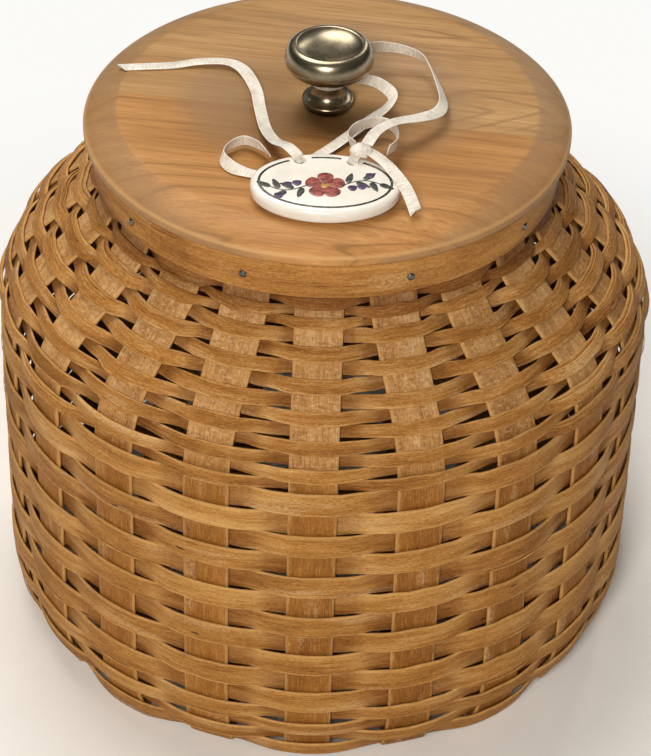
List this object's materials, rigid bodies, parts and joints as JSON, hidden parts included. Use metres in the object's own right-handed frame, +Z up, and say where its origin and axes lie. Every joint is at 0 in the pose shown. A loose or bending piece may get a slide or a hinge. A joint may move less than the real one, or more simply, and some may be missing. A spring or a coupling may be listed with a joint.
{
  "type": "lidded basket",
  "caption": "Round splint basket with a sloping shoulder, a bent wooden rim, a lift-off turned lid with a metal knob, and an oval tag tied on with ribbon.",
  "frame": {"origin": "centre of the base, on the surface that the basket stands on", "axes": "+Z up along the basket's axis, -Y towards the front of the lid where the tag lies"},
  "size_m": [0.2614, 0.2614, 0.2516],
  "materials": {
    "weaver_wood": "thin stained splint, satin, grain along the strip",
    "upright_wood": "stained splint, matt and slightly fuzzy, grain along the strip",
    "rim_wood": "bent stained hardwood band, satin",
    "lid_wood": "edge-glued honey-coloured boards, satin varnish",
    "knob_nickel": "polished nickel plate",
    "screw_steel": "plain zinc-plated steel",
    "tag_glaze": "white glaze with a painted border and sprig",
    "ribbon_satin": "cream satin ribbon"
  },
  "bodies": {
    "basket": {"spoke_lengthwise_1": "upright_wood", "spoke_lengthwise_2": "upright_wood", "spoke_lengthwise_3": "upright_wood", "spoke_lengthwise_4": "upright_wood", "spoke_lengthwise_5": "upright_wood", "spoke_crosswise_1": "upright_wood", "spoke_crosswise_2": "upright_wood", "spoke_crosswise_3": "upright_wood", "spoke_crosswise_4": "upright_wood", "spoke_crosswise_5": "upright_wood", "weaver_01": "weaver_wood", "weaver_02": "weaver_wood", "weaver_03": "weaver_wood", "weaver_04": "weaver_wood", "weaver_05": "weaver_wood", "weaver_06": "weaver_wood", "weaver_07": "weaver_wood", "weaver_08": "weaver_wood", "weaver_09": "weaver_wood", "weaver_10": "weaver_wood", "weaver_11": "weaver_wood", "weaver_12": "weaver_wood", "weaver_13": "weaver_wood", "weaver_14": "weaver_wood", "weaver_15": "weaver_wood", "weaver_16": "weaver_wood", "weaver_17": "weaver_wood", "weaver_18": "weaver_wood", "weaver_19": "weaver_wood", "weaver_20": "weaver_wood", "weaver_21": "weaver_wood", "weaver_22": "weaver_wood", "weaver_23": "weaver_wood", "weaver_24": "weaver_wood", "weaver_25": "weaver_wood", "weaver_26": "weaver_wood", "weaver_27": "weaver_wood", "weaver_28": "weaver_wood", "weaver_29": "weaver_wood", "outer_rim": "rim_wood", "inner_rim": "rim_wood"},
    "lid": {"lid_board": "lid_wood", "knob": "knob_nickel", "knob_screw": "screw_steel", "ribbon_left_tail": "ribbon_satin", "ribbon_left_loop": "ribbon_satin", "ribbon_neck_strand": "ribbon_satin", "ribbon_right_loop": "ribbon_satin", "ribbon_knot": "ribbon_satin"},
    "tag": {"tag": "tag_glaze", "ribbon_right_tail": "ribbon_satin"}
  },
  "joints": [
    {"name": "lid_lift", "type": "slide", "parent": "basket", "child": "lid", "axis": [0, 0, 1], "range_m": [0, 0.1]},
    {"name": "tag_lift", "type": "hinge", "parent": "lid", "child": "tag", "pos_m": [0.0006, -0.05112, 0.23315], "axis": [-1, 0, 0], "range_deg": [0, 70]}
  ]
}
